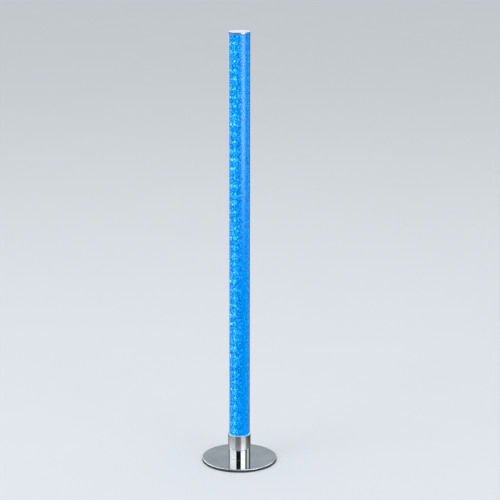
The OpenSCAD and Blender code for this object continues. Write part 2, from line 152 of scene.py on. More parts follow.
def polished_chrome():
    """Mild steel, buffed and chromium plated: a mirror with a cool cast, a trace of buffing haze
    and a few finger-wide softer patches."""
    made, tree, shader, place = start_material("polished_chrome", Metallic=1.0)
    haze = node(tree, "ShaderNodeTexNoise", {"Vector": place, "Scale": 1 / 45, "Detail": 4, **SOFT})
    long = node(tree, "ShaderNodeMapping", {"Vector": place, "Scale": (0.3, 0.3, 3.0)})
    lines = node(tree, "ShaderNodeTexNoise", {"Vector": long, "Scale": 1 / 0.9, "Detail": 2, **SOFT})
    finish_surface(tree, shader, haze, "#B4B9BC", "#CBCED0", 0.015, 0.05, 0.0006, lines)
    return made


def satin_steel():
    """Stainless steel tube turned against an abrasive belt: fine lines round it, which spread
    every light into a tall soft streak."""
    made, tree, shader, place = start_material(
        "satin_steel", Metallic=1.0, Anisotropic=0.85, Anisotropic_Rotation=0.25)
    feed(shader, {"Tangent": node(tree, "ShaderNodeTangent", direction_type="RADIAL", axis="Z")})
    # Real belt lines are about 0.05 mm; they are drawn at 0.35 mm so that they show
    long = node(tree, "ShaderNodeMapping", {"Vector": place, "Scale": (0.04, 0.04, 1.0)})
    lines = node(tree, "ShaderNodeTexNoise", {
        "Vector": long, "Scale": 1 / 0.35, "Detail": 3, "Roughness": 0.7})
    finish_surface(tree, shader, lines, "#AAACAE", "#C6C7C8", 0.26, 0.38, 0.012)
    return made


def clear_acrylic():
    """Cast acrylic tube, polished: clear, with drawing marks too faint to see but at the rims
    of a reflection. An even azure glow is painted on it for the light inside that runs along the
    wall itself, so its rims look azure, and a painted bright line runs round it where it stands in the
    collar."""
    # Acrylic has an IOR of 1.49: it is set lower so that pale surroundings wash the azure out less
    made, tree, shader, place = start_material(
        "clear_acrylic", IOR=1.36, Transmission_Weight=1.0, Base_Color="#D8F0FF")
    height = node(tree, "ShaderNodeSeparateXYZ", {"Vector": place}).outputs["Z"]
    lip = COLLAR[1].z / MM
    # The band just above the collar's lip, where a painted bright line runs round the tube
    foot = node(tree, "ShaderNodeMapRange", {"Value": height, "From Min": lip + 1.4, "From Max": lip + 0.4})
    glow = node(tree, "ShaderNodeValToRGB", {"Fac": foot}, stops=[(0.0, "#0078D8"), (1.0, "#A0ECFF")])
    long = node(tree, "ShaderNodeMapping", {"Vector": place, "Scale": (1.0, 1.0, 0.03)})
    drawn = node(tree, "ShaderNodeTexNoise", {"Vector": long, "Scale": 1 / 6, "Detail": 2, **SOFT})
    # Painted glow: a faint even azure over the whole tube, brighter and paler in that band
    feed(shader, {
        "Emission Color": glow,
        "Emission Strength": ("MULTIPLY_ADD", foot, 0.24, 0.12),
        "Roughness": node(tree, "ShaderNodeMapRange", {"Value": drawn, "To Min": 0.0, "To Max": 0.03}),
        "Normal": node(tree, "ShaderNodeBump", {"Height": drawn, "Distance": 0.004 * MM, "Strength": 0.4}),
    })
    return made


def painted_strip_light(tree, place):
    """Masks for painting the light of the two strips on the tube wall: how much of it reaches a
    place, how near in height the place is to a diode, and how far it faces as the first strip does. All run
    from 0 to 1."""
    parts = node(tree, "ShaderNodeSeparateXYZ", {"Vector": place}).outputs
    flat = node(tree, "ShaderNodeCombineXYZ", {"X": parts["X"], "Y": parts["Y"]})
    out = node(tree, "ShaderNodeVectorMath", {0: flat}, operation="NORMALIZE")
    facing = (-math.sin(BAR_TURN), -math.cos(BAR_TURN), 0)
    along = node(
        tree, "ShaderNodeVectorMath", {0: out, 1: facing}, operation="DOT_PRODUCT").outputs["Value"]
    near_strip = ("ABSOLUTE", along)
    first_side = ("MULTIPLY_ADD", along, 0.5, 0.5)
    from_first = ("SUBTRACT", parts["Z"], FIRST_DIODE / MM)
    wave = ("COSINE", ("MULTIPLY", from_first, math.tau / (DIODE_PITCH / MM)))
    near_diode = ("MULTIPLY_ADD", wave, 0.5, 0.5)
    return near_strip, near_diode, first_side


def bubbled_acrylic(settings):
    """Cast acrylic with air trapped in it, lit from inside, with that light painted on: an even
    painted azure glow over a dark blue body colour that is painted light too, with a grain of small
    light and dark flecks, painted lighter towards each strip and its diodes."""
    made, tree, shader, place = start_material(
        "bubbled_acrylic", IOR=1.49, Roughness=0.12, Specular_IOR_Level=0.05, Alpha=settings.wall_density)
    near_strip, near_diode, first_side = painted_strip_light(tree, place)
    # Flecks of 3.4 mm stand for small clusters of bubbles, and clouds of 14 mm for their drift
    flecks = node(tree, "ShaderNodeTexNoise", {
        "Vector": place, "Scale": 1 / 3.4, "Detail": 2, "Roughness": 0.65})
    clouds = node(tree, "ShaderNodeTexNoise", {"Vector": place, "Scale": 1 / 14, "Detail": 2, **SOFT})
    # Painted light of the strips: the flecks show more and the glow grows lighter towards each strip, and
    # beside each diode
    reach = ("POWER", near_strip, 1.5)
    contrast = ("MULTIPLY_ADD", reach, 2.8, 1.2)
    contrast = ("MULTIPLY_ADD", ("POWER", first_side, 2.0), 1.5, contrast)
    level = ("MULTIPLY", ("SUBTRACT", flecks, 0.5), contrast)
    level = ("MULTIPLY_ADD", reach, -0.03, ("ADD", level, 0.35))
    beside = ("MULTIPLY", ("POWER", near_diode, 3.0), reach)
    level = ("MULTIPLY_ADD", beside, 0.17, level)
    level = ("MULTIPLY_ADD", clouds, 0.1, level)
    glow = node(tree, "ShaderNodeValToRGB", {"Fac": level}, stops=[
        (0.0, "#004894"), (0.4, "#0088CC"), (0.6, "#00A0DC"), (0.8, "#28CEEE"), (1.0, "#90FAFF")])
    # The dark blue body colour is painted light of the diodes as well
    body = node(tree, "ShaderNodeValToRGB", {"Fac": flecks}, stops=[(0.3, "#02203F"), (0.7, "#0A569C")])
    feed(shader, {"Emission Color": glow, "Emission Strength": settings.glow, "Base Color": body})
    return made


def air_bubbles(settings):
    """Air in acrylic: each bubble is a small lens with a painted glow, a painted paler rim and
    painted glints, brightest where a diode shines into it."""
    made, tree, shader, place = start_material(
        "air_bubbles", IOR=1.49, Roughness=0.08, Specular_IOR_Level=0.2)
    near_strip, near_diode, first_side = painted_strip_light(tree, place)
    tone = node(tree, "ShaderNodeAttribute", attribute_name="tone").outputs["Fac"]
    reach = ("MULTIPLY", ("POWER", near_strip, 1.3), ("POWER", first_side, 0.7))
    lit = ("MULTIPLY_ADD", ("POWER", near_diode, 4.0), 1.0, 0.15)
    # Painted glints: the bubbles that face a strip and sit beside a diode glow much brighter
    spark = ("MULTIPLY", ("MULTIPLY", reach, lit), ("POWER", tone, 6.0))
    # A painted paler rim, by how far each bubble's surface turns from the eye
    rim = node(tree, "ShaderNodeLayerWeight", {"Blend": 0.35}).outputs["Facing"]
    level = ("MULTIPLY_ADD", tone, 0.34, ("MULTIPLY", spark, 0.75))
    level = ("MULTIPLY_ADD", rim, 0.12, level)
    glow = node(tree, "ShaderNodeValToRGB", {"Fac": level}, stops=[
        (0.05, "#0058C0"), (0.3, "#0092F5"), (0.6, "#10BCFF"), (0.95, "#90F4FF")])
    strength = ("MULTIPLY_ADD", spark, settings.spark * settings.glow, settings.glow)
    # The blue body colour is painted light of the diodes as well
    body = node(tree, "ShaderNodeValToRGB", {"Fac": tone}, stops=[(0.2, "#063A70"), (0.8, "#0C64A8")])
    feed(shader, {"Emission Color": glow, "Emission Strength": strength, "Base Color": body})
    return made


def strip_film():
    """White lacquer on a flexible circuit, with the light of its own diodes painted on as a blue glow:
    bright round each of them.
    """
    made, tree, shader, place = start_material("strip_film", Emission_Color="#20C0FF")
    near_diode = painted_strip_light(tree, place)[1]
    grain = node(tree, "ShaderNodeTexNoise", {"Vector": place, "Scale": 1 / 1.2, "Detail": 3, **SOFT})
    finish_surface(tree, shader, grain, "#D8DAD4", "#E8E8E2", 0.35, 0.5, 0.01)
    # Painted light of the diodes: an even glow, much brighter round each of them
    feed(shader, {"Emission Strength": ("MULTIPLY_ADD", ("POWER", near_diode, 4.0), 6.0, 1.0)})
    return made


# Surfaces whose one grain varies colour, shine and relief: the darker and the lighter colour, the
# least and the most roughness, and the size and the relief of the grain in millimetres
PLAIN_FINISHES = {
    # Extruded, brushed and anodised: long fine lines and a soft sheen
    "bar_aluminium": ("#B9BDC2", "#CDD0D4", 0.3, 0.42, 0.8, 0.01),
    # Moulded epoxy and phenolic: black with a dull shine
    "component_black": ("#16171A", "#24262A", 0.4, 0.6, 0.3, 0.01),
    "moulded_epoxy": ("#16171A", "#24262A", 0.4, 0.6, 0.3, 0.01),
    # Vinyl drawn over wire: white with an even, waxy shine
    "lead_insulation": ("#C9CACC", "#DCDDDE", 0.35, 0.5, 1.2, 0.01),
    # White moulded resin, with the light of the chips inside painted on as a glow: a bright frame round each
    # lens
    "diode_housing": ("#D9DEE0", "#F0F2F2", 0.35, 0.5, 0.5, 0.01),
    # Silicone cast over the chips of a lit diode: an even, strong blue
    "lit_diode": ("#8FD8F0", "#C4F0FA", 0.25, 0.4, 0.4, 0.0),
    # Hot tin that set on copper: pale and slightly uneven
    "tinned_copper": ("#BFC1C0", "#D6D8D8", 0.25, 0.4, 0.3, 0.01),
    "tinned_legs": ("#B6B8B7", "#D2D4D4", 0.25, 0.4, 0.3, 0.01),
    # Pressed rubber: matt black
    "pad_rubber": ("#131416", "#1E2022", 0.75, 0.95, 0.8, 0.05),
    # Injection moulded with a fine spark-eroded grain: dark grey, half matt
    "dark_moulding": ("#2C2E31", "#393B3F", 0.45, 0.6, 0.5, 0.02),
    # The same process, with the light from the tube below painted on as its blue colour and its glow
    "plug_moulding": ("#0C3A78", "#124C94", 0.35, 0.5, 0.5, 0.01),
    # Punched from cast sheet: milky, with a soft shine
    "clear_silicone": ("#C6D3DC", "#D8E2E8", 0.25, 0.4, 1.2, 0.01),
    # Cold-formed steel, zinc plated: bright grey with faint clouds
    "zinc_steel": ("#B4B7B9", "#CACCCD", 0.2, 0.35, 0.6, 0.01),
    # Moulded in a lightly blasted tool: half matt, the nylon black and the terminal green
    "black_nylon": ("#141517", "#202225", 0.4, 0.55, 0.4, 0.02),
    "terminal_green": ("#1E6A3C", "#2A7C4A", 0.4, 0.55, 0.4, 0.01),
    # Moulded in a smooth tool: creamy white with a soft shine
    "connector_white": ("#DDDBD2", "#ECEAE2", 0.35, 0.5, 0.4, 0.01),
    # Film shrunk tight over a can: dark blue and glossy
    "capacitor_sleeve": ("#1C2440", "#2A3458", 0.2, 0.3, 0.8, 0.01),
}


def plain_finish(name, stretch=None, detail=4, **values):
    """One of the plain finishes, with its grain run long on one axis where stretch says so."""
    dark, light, smooth, rough, size_mm, relief_mm = PLAIN_FINISHES[name]
    made, tree, shader, place = start_material(name, **values)
    if stretch:
        place = node(tree, "ShaderNodeMapping", {"Vector": place, "Scale": stretch})
    grain = node(tree, "ShaderNodeTexNoise", {
        "Vector": place, "Scale": 1 / size_mm, "Detail": detail, **SOFT})
    finish_surface(tree, shader, grain, dark, light, smooth, rough, relief_mm)
    return made


def spun_silver(middle_z):
    """Moulded cap under silver lacquer, turned while it dried: faint rings round its middle."""
    made, tree, shader, place = start_material("button_silver", Metallic=0.9)
    parts = node(tree, "ShaderNodeSeparateXYZ", {"Vector": place}).outputs
    up = ("SUBTRACT", parts["Z"], middle_z)
    flat = node(tree, "ShaderNodeCombineXYZ", {"X": parts["X"], "Y": up})
    away = node(tree, "ShaderNodeVectorMath", {0: flat}, operation="LENGTH").outputs["Value"]
    out = node(tree, "ShaderNodeCombineXYZ", {"X": away})
    rings = node(tree, "ShaderNodeTexNoise", {"Vector": out, "Scale": 1 / 0.12, "Detail": 2, **SOFT})
    finish_surface(tree, shader, rings, "#AEB0B3", "#C6C8CA", 0.24, 0.36, 0.006)
    return made


def woven_laminate():
    """Glass cloth in epoxy under green lacquer: a faint square weave and copper tracks that
    show as lighter lines."""
    made, tree, shader, place = start_material("board_laminate", IOR=1.5, Coat_Weight=0.6)
    parts = node(tree, "ShaderNodeSeparateXYZ", {"Vector": place}).outputs
    # The threads stand 0.45 mm apart
    across = ("SINE", ("MULTIPLY", parts["X"], math.tau / 0.45))
    up = ("SINE", ("MULTIPLY", parts["Z"], math.tau / 0.45))
    weave = ("MULTIPLY_ADD", ("MULTIPLY", across, up), 0.2, 0.3)
    tracks = node(tree, "ShaderNodeTexBrick", {
        "Vector": place, "Scale": 0.25, "Mortar Size": 0.03,
        "Color1": (0, 0, 0, 1), "Color2": (0, 0, 0, 1), "Mortar": (1, 1, 1, 1)})
    pattern = ("MULTIPLY_ADD", tracks.outputs["Fac"], 0.45, weave)
    finish_surface(tree, shader, pattern, "#0B4A24", "#2C8A4C", 0.25, 0.4, 0.02)
    return made


# ---------------- shapes


def linked(name, data, materials=()):
    """A new object of the data, in the scene."""
    for material in materials:
        data.materials.append(material)
    made = bpy.data.objects.new(name, data)
    bpy.context.scene.collection.objects.link(made)
    return made


def mesh_object(name, verts, faces, materials=(), smooth=True, edges=()):
    """A new piece from points and faces, with its place in its mesh."""
    mesh = bpy.data.meshes.new(name)
    mesh.from_pydata(verts, edges, faces)
    if smooth:
        mesh.shade_smooth()
    return linked(name, mesh, materials)


def lathe(name, outline, materials=(), sides=128, place=Matrix(), shape=None):
    """A closed piece, in millimetres: the outline of (radius, height) points, turned round an
    upright line and then put in its place. A shape may give each point another radius and height
    by its angle."""
    verts, faces = [], []
    count = len(outline)
    for i in range(sides):
        turn = math.tau * i / sides
        for r, z in outline:
            if shape:
                r, z = shape(r, z, turn)
            verts.append(place @ Vector((r * math.cos(turn), r * math.sin(turn), z)) * MM)
    for i in range(sides):
        a, b = i * count, (i + 1) % sides * count
        for k in range(count):
            n = (k + 1) % count
            if outline[k][0] or outline[n][0]:
                faces.append((a + k, b + k, b + n, a + n))
    made = mesh_object(name, verts, faces, materials)
    close_up(made)
    # Corners crisper than this stay so when the rest is shaded smooth
    made.data.set_sharp_from_angle(angle=math.radians(35))
    return made


def lying(x, z):
    """The place of a turned piece that lies along Y, in millimetres."""
    return Matrix.Translation((x, 0, z)) @ Matrix.Rotation(-math.pi / 2, 4, "X")


def close_up(piece):
    """Merges points that lie on each other and turns every face outwards."""
    work = bmesh.new()
    work.from_mesh(piece.data)
    bmesh.ops.remove_doubles(work, verts=work.verts, dist=0.001 * MM)
    bmesh.ops.dissolve_degenerate(work, edges=work.edges, dist=0.0005 * MM)
    bmesh.ops.recalc_face_normals(work, faces=work.faces)
    work.to_mesh(piece.data)
    work.free()


def blocks(name, boxes, materials=(), bevel=0.0):
    """Boxes with bevelled edges as one piece, in millimetres: each is two corners and, where it
    isn't the first, the number of its material."""
    work = bmesh.new()
    for low, high, *which in boxes:
        corners = bmesh.ops.create_cube(work, size=1)["verts"]
        low, high = Vector(low) * MM, Vector(high) * MM
        place = Matrix.Translation((low + high) / 2) @ Matrix.Diagonal((*(high - low), 1))
        bmesh.ops.transform(work, verts=corners, matrix=place)
        for face in {f for v in corners for f in v.link_faces}:
            face.material_index = which[0] if which else 0
    if bevel:
        bmesh.ops.bevel(work, geom=list(work.edges), offset=bevel * MM, segments=1, affect="EDGES",
                        profile=0.5, clamp_overlap=True)
    mesh = bpy.data.meshes.new(name)
    work.to_mesh(mesh)
    work.free()
    return linked(name, mesh, materials)


def box_mm(name):
    """The two corners of a node's box, in millimetres."""
    return [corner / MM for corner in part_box(name)]


def hand_over(piece, node_name, body="lamp"):
    """Hangs a finished piece on the empty of what carries it, and hides the node that it replaces."""
    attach(piece, body)
    if node_name:
        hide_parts(node_name)


def gull_leg(x, face, inner, outer, half=0.2, rise=0.7):
    """The boxes of one bent leg of a component, from its body to its foot on the board face."""
    bend = inner + (outer - inner) * 0.35
    knee = bend + (outer - inner) * 0.3
    spans = ((inner, bend, face - rise, face - rise + 0.15), (bend, knee, face - rise, face),
             (bend, outer, face - 0.15, face))
    return [((x - half, y0, min(z0, z1)), (x + half, y1, max(z0, z1)), 1) for z0, z1, y0, y1 in spans]


def round_lens(name, radius, front, depth, sides=14):
    """A flat round lens that faces -Y."""
    verts = [(0, front, 0)]
    for r, y in ((radius * 0.7, front + depth * 0.15), (radius, front + depth)):
        turns = [math.tau * i / sides for i in range(sides)]
        verts += [(r * math.cos(turn), y, r * math.sin(turn)) for turn in turns]
    verts.append((0, front + depth, 0))
    faces = []
    for i in range(sides):
        j = (i + 1) % sides
        faces += [(0, 1 + i, 1 + j), (1 + i, 1 + sides + i, 1 + sides + j, 1 + j),
                  (1 + sides + i, 1 + 2 * sides, 1 + sides + j)]
    return mesh_object(name, verts, faces)


def grow(tree, name, values):
    """Runs a geometry tree once and keeps its result as a plain mesh."""
    host = linked(name + "_grower", bpy.data.meshes.new(name + "_grower"))
    modifier = host.modifiers.new("grow", "NODES")
    modifier.node_group = tree
    sockets = {s.name: s.identifier for s in tree.interface.items_tree if s.in_out == "INPUT"}
    for socket, value in values.items():
        modifier[sockets[socket]] = value
    shape = host.evaluated_get(bpy.context.evaluated_depsgraph_get())
    mesh = bpy.data.meshes.new_from_object(shape)
    mesh.name = name
    made = linked(name, mesh)
    bpy.data.objects.remove(host)
    if not mesh.polygons:
        raise RuntimeError(f"{name} came out empty")
    return made


def start_tree(name, **kinds):
    """A new geometry tree, and its inputs by name. The names of each kind of socket stand under it."""
    tree = bpy.data.node_groups.new(name, "GeometryNodeTree")
    tree.is_modifier = True
    tree.interface.new_socket("Geometry", in_out="OUTPUT", socket_type="NodeSocketGeometry")
    for kind, labels in kinds.items():
        for label in labels:
            tree.interface.new_socket(label, in_out="INPUT", socket_type="NodeSocket" + kind)
    return tree, tree.nodes.new("NodeGroupInput").outputs


def end_tree(tree, geometry, material):
    """Makes the instances real, gives them their material and ends the tree."""
    real = node(tree, "GeometryNodeRealizeInstances", {"Geometry": geometry})
    coated = node(tree, "GeometryNodeSetMaterial", {"Geometry": real, "Material": material})
    node(tree, "NodeGroupOutput", {"Geometry": coated})
    return tree


def bubble_tree(material):
    """Bubbles strewn through the wall of a tube, each with its own size, depth and tone."""
    tree, given = start_tree(
        "bubbles_in_wall",
        Float=("Radius", "Bottom", "Top", "Depth", "Apart", "Density", "Smallest", "Largest"), Int=("Seed",))
    skin = node(tree, "GeometryNodeMeshCylinder", {
        "Vertices": 64, "Side Segments": 1, "Radius": given["Radius"],
        "Depth": ("SUBTRACT", given["Top"], given["Bottom"])}, fill_type="NONE")
    lift = node(tree, "ShaderNodeCombineXYZ", {
        "Z": ("MULTIPLY", ("ADD", given["Top"], given["Bottom"]), 0.5)})
    placed = node(tree, "GeometryNodeTransform", {"Geometry": skin, "Translation": lift})
    points = node(tree, "GeometryNodeDistributePointsOnFaces", {
        "Mesh": placed, "Distance Min": given["Apart"], "Density Max": given["Density"],
        "Seed": given["Seed"]}, distribute_method="POISSON")
    size = node(tree, "FunctionNodeRandomValue", {
        2: given["Smallest"], 3: given["Largest"], "ID": node(tree, "GeometryNodeInputIndex"),
        "Seed": given["Seed"]}, data_type="FLOAT")
    shift = node(tree, "FunctionNodeRandomValue", {2: -1.0, 3: 1.0, "Seed": 7}, data_type="FLOAT")
    outward = node(tree, "ShaderNodeVectorMath", {
        0: points.outputs["Normal"], "Scale": ("MULTIPLY", shift.outputs[1], given["Depth"])},
        operation="SCALE")
    moved = node(tree, "GeometryNodeSetPosition", {"Geometry": points, "Offset": outward})
    tone = node(tree, "FunctionNodeRandomValue", {2: 0.0, 3: 1.0, "Seed": 3}, data_type="FLOAT")
    toned = node(tree, "GeometryNodeStoreNamedAttribute", {
        "Geometry": moved, "Name": "tone", "Value": tone.outputs[1]}, data_type="FLOAT", domain="POINT")
    ball = node(tree, "GeometryNodeMeshUVSphere", {"Segments": 6, "Rings": 4, "Radius": 1.0})
    round_ball = node(tree, "GeometryNodeSetShadeSmooth", {"Geometry": ball})
    turn = node(tree, "FunctionNodeRandomValue", {
        0: (0, 0, 0), 1: (math.tau,) * 3, "Seed": 11}, data_type="FLOAT_VECTOR")
    balls = node(tree, "GeometryNodeInstanceOnPoints", {
        "Points": toned, "Instance": round_ball, "Scale": size.outputs[1], "Rotation": turn})
    return end_tree(tree, balls, material)


def strip_row_tree(material):
    """One small part in rows up both strips of the light bar."""
    tree, given = start_tree(
        "rows_on_strips", Object=("Part",), Int=("Count",), Float=("First", "Pitch", "Face", "Turn"))
    first = node(tree, "ShaderNodeCombineXYZ", {"Y": ("MULTIPLY", given["Face"], -1.0), "Z": given["First"]})
    step = node(tree, "ShaderNodeCombineXYZ", {"Z": given["Pitch"]})
    row = node(tree, "GeometryNodeMeshLine", {
        "Count": given["Count"], "Start Location": first, "Offset": step})
    part = node(tree, "GeometryNodeObjectInfo", {"Object": given["Part"]}).outputs["Geometry"]
    set_out = node(tree, "GeometryNodeInstanceOnPoints", {"Points": row, "Instance": part})
    join = tree.nodes.new("GeometryNodeJoinGeometry")
    for half_turn in (0.0, math.pi):
        turn = node(tree, "ShaderNodeCombineXYZ", {"Z": ("SUBTRACT", half_turn, given["Turn"])})
        feed(join, (node(tree, "GeometryNodeTransform", {"Geometry": set_out, "Rotation": turn}),))
    return end_tree(tree, join, material)


def lead_tree(material):
    """Pairs of insulated wires, twisted round each other along the edges of another object."""
    tree, given = start_tree("twisted_leads", Object=("Path",), Float=("Wire", "Apart", "Twist"))
    path = node(tree, "GeometryNodeObjectInfo", {"Object": given["Path"]}).outputs["Geometry"]
    curve = node(tree, "GeometryNodeMeshToCurve", {"Mesh": path})
    bent = node(tree, "GeometryNodeCurveSplineType", {"Curve": curve}, spline_type="CATMULL_ROM")
    even = node(tree, "GeometryNodeResampleCurve", {"Curve": bent, "Length": 0.4 * MM}, mode="LENGTH")
    wire = node(tree, "GeometryNodeCurvePrimitiveCircle", {"Resolution": 12, "Radius": given["Wire"]})
    along = node(tree, "GeometryNodeSplineParameter").outputs["Length"]
    join = tree.nodes.new("GeometryNodeJoinGeometry")
    for start in (0.0, math.pi):
        sideways = node(tree, "ShaderNodeVectorRotate", {
            "Vector": node(tree, "GeometryNodeInputNormal"), "Axis": node(tree, "GeometryNodeInputTangent"),
            "Angle": ("MULTIPLY_ADD", along, given["Twist"], start)}, rotation_type="AXIS_ANGLE")
        offset = node(
            tree, "ShaderNodeVectorMath", {0: sideways, "Scale": given["Apart"]}, operation="SCALE")
        strand = node(tree, "GeometryNodeSetPosition", {"Geometry": even, "Offset": offset})
        feed(join, (node(tree, "GeometryNodeCurveToMesh", {
            "Curve": strand, "Profile Curve": wire, "Fill Caps": True}),))
    return end_tree(tree, join, material)


def screw_tree(material):
    """One screw at each point of another object, all turned alike."""
    tree, given = start_tree("screws_at_points", Object=("Part", "Places"), Vector=("Turn",))
    part, places = (node(tree, "GeometryNodeObjectInfo", {"Object": given[name]}).outputs["Geometry"]
                    for name in ("Part", "Places"))
    set_out = node(tree, "GeometryNodeInstanceOnPoints", {
        "Points": places, "Instance": part, "Rotation": given["Turn"]})
    return end_tree(tree, set_out, material)


def screw_part(shank, length, head, drive, drive_depth, pitch, depth, sides):
    """A screw along +Z, in millimetres, with a rolled thread and a cross recess. Its head is a row
    of (radius, height) points, from the recess to the shank."""
    top = head[0][1]
    start, end = max(head[-1][1], 0) + 0.3, length - 1.2
    outline = [(0, top + drive_depth), (drive, top + drive_depth * 0.9), (drive, top), *head]
    count = round((end - start) / pitch * 6)
    outline += [(shank, start + (end - start) * k / count) for k in range(count + 1)]
    outline += [(shank * 0.72, length - 0.5), (shank * 0.3, length), (0, length)]

    def shape(r, z, turn):
        if r == drive:
            r *= 0.4 + 0.6 * math.cos(turn * 2) ** 8
        elif r == shank and z > start + 0.1:
            r -= abs((z / pitch - turn / math.tau) % 1 - 0.5) * 2 * depth
        return r, z

    return lathe("screw", outline, sides=sides, shape=shape)


def dress(material, *names):
    """Gives carried-over solids their finish."""
    for name in names:
        for slot in NODES[name].material_slots:
            slot.material = material


# ---------------- values


class LampColumnSettings(bpy.types.PropertyGroup):
    """Sizes and light of the column."""

    glow: FloatProperty(
        name="Glow", description="Brightness of the lit acrylic", default=1.0, min=0.0, max=4.0)
    spark: FloatProperty(
        name="Spark", description="How much brighter the bubbles next to a diode are", default=30.0,
        min=0.0)
    wall_density: FloatProperty(
        name="Wall density", description="How much of the light bar the bubbled wall hides",
        default=0.7, min=0.0, max=1.0, subtype="FACTOR")
    smallest_bubble: FloatProperty(
        name="Smallest bubble", description="Radius of the smallest bubbles", default=0.35 * MM,
        min=0.1 * MM, max=1 * MM, precision=5, unit="LENGTH")
    largest_bubble: FloatProperty(
        name="Largest bubble", description="Radius of the largest bubbles", default=0.85 * MM,
        min=0.1 * MM, max=1 * MM, precision=5, unit="LENGTH")
    bubble_gap: FloatProperty(
        name="Bubble gap", description="Least distance from one bubble to the next",
        default=2.6 * MM, min=1 * MM, max=20 * MM, precision=5, unit="LENGTH")
    seed: IntProperty(name="Seed", description="Which strewing of the bubbles", default=5, min=0)


class LampStageSettings(bpy.types.PropertyGroup):
    """Floor, lamps and camera."""

    floor_colour: FloatVectorProperty(
        name="Floor", description="Colour of the floor", default=linear("#D3D7DB"), subtype="COLOR")
    backdrop_colour: FloatVectorProperty(
        name="Backdrop", description="Colour behind the floor", default=linear("#BFC7CE"), subtype="COLOR")
    camera_distance: FloatProperty(
        name="Camera distance", description="From the camera to the column, along the floor",
        default=4.021, min=1.0, unit="LENGTH")
    camera_height: FloatProperty(
        name="Camera height", description="Height of the camera", default=1.5453, min=0.0, unit="LENGTH")
    camera_pitch: FloatProperty(
        name="Camera pitch", description="How far the camera looks down",
        default=math.radians(14.2448), subtype="ANGLE")
    camera_shift: FloatProperty(
        name="Camera shift", default=0.0212,
        description="How far the picture is shifted right of the column, in its own widths")
    camera_lens: FloatProperty(
        name="Camera lens", description="Focal length in millimetres on a 36 mm sensor",
        default=126.758, min=10.0)


# ---------------- operators


def soft_lamp(name, radiance, width, height, place, target):
    """A rectangular lamp of an even brightness, turned to its target and seen by diffuse rays only."""
    light = bpy.data.lights.new(name, "AREA")
    light.shape = "RECTANGLE"
    light.size, light.size_y = width, height
    light.energy = math.pi * width * height * radiance
    made = linked(name, light)
    made.location = place
    made.rotation_euler = (Vector(target) - Vector(place)).to_track_quat("-Z", "Y").to_euler()
    made.visible_camera = False
    made.visible_glossy = False
    made.visible_transmission = False


def around(azimuth, distance, height):
    """A place round the lamp: azimuth 0 is the front, and 90 the right as seen from there."""
    turn = math.radians(azimuth)
    return Vector((math.sin(turn) * distance, -math.cos(turn) * distance, height))


def card(name, from_azimuth, to_azimuth, profile, strength=0.0, colour="#FFFFFF", fade=None):
    """A curved card of the studio, seen only in gloss and through glass: black, or lit. Its profile
    is a row of (distance, height) points. A lit one can fade in from one distance to another, and
    is then soft at both ends too."""
    steps = 12
    count = len(profile)
    verts, faces = [], []
    for i in range(steps + 1):
        azimuth = from_azimuth + (to_azimuth - from_azimuth) * i / steps
        verts += [around(azimuth, distance, height) for distance, height in profile]
    for i in range(steps):
        first, second = i * count, (i + 1) * count
        faces += [(first + k, second + k, second + k + 1, first + k + 1) for k in range(count - 1)]
    made_of = bpy.data.materials.new(name)
    made_of.use_nodes = True
    tree = made_of.node_tree
    tree.nodes.clear()
    if fade:
        place = node(tree, "ShaderNodeTexCoord").outputs["Object"]
        parts = node(tree, "ShaderNodeSeparateXYZ", {"Vector": place}).outputs
        away = node(tree, "ShaderNodeVectorMath", {0: place}, operation="LENGTH").outputs["Value"]
        near = node(tree, "ShaderNodeMapRange", {
            "Value": away, "From Min": fade[0], "From Max": fade[1]}, interpolation_type="SMOOTHSTEP")
        azimuth = ("ARCTAN2", parts["X"], ("MULTIPLY", parts["Y"], -1.0))
        middle = math.radians((from_azimuth + to_azimuth) / 2)
        ends = node(tree, "ShaderNodeMapRange", {
            "Value": ("ABSOLUTE", ("SUBTRACT", azimuth, middle)),
            "From Min": math.radians(to_azimuth - from_azimuth) / 2, "From Max": math.radians(2)},
            interpolation_type="SMOOTHSTEP")
        strength = ("MULTIPLY", ("MULTIPLY", near, ends), strength)
    light = node(tree, "ShaderNodeEmission", {"Color": colour, "Strength": strength})
    node(tree, "ShaderNodeOutputMaterial", {"Surface": light})
    made = mesh_object(name, verts, faces, [made_of], smooth=False)
    made.visible_camera = False
    made.visible_diffuse = False
    made.visible_shadow = False
    return made


